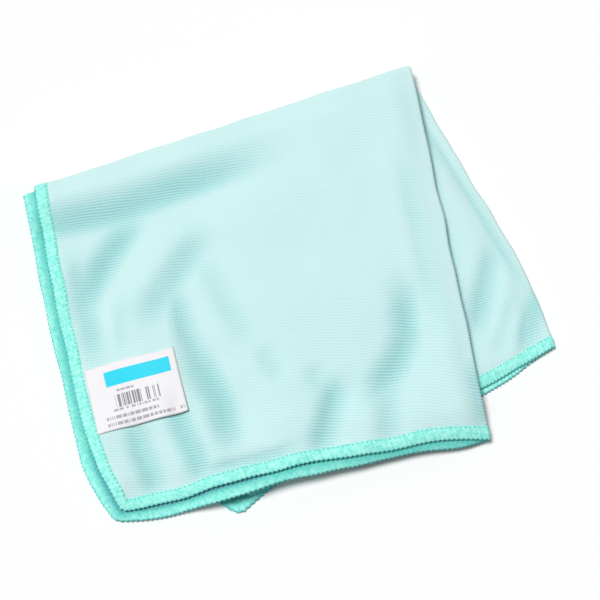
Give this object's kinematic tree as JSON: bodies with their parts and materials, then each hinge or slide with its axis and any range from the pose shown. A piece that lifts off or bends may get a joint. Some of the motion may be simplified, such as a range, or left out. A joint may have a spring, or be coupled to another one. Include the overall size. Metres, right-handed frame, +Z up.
{
  "type": "microfibre cloth",
  "caption": "Ribbed microfibre cloth with an overlocked hem, folded in four with the lower half fanned out, and a plain label sewn into the hem.",
  "frame": {"origin": "middle of the folded cloth's footprint, on the surface it lies on", "axes": "+Z up, through the layers; +X along the longer side of the footprint, towards the side folds; +Y towards the top fold"},
  "size_m": [0.2912, 0.2554, 0.0118],
  "materials": {
    "cloth": "pale aqua ribbed microfibre knit, matt, with a turquoise overlocked hem",
    "label": "white satin ribbon with a blue band and grey bars"
  },
  "bodies": {
    "root": {"cloth": "cloth", "label": "label"}
  },
  "joints": []
}
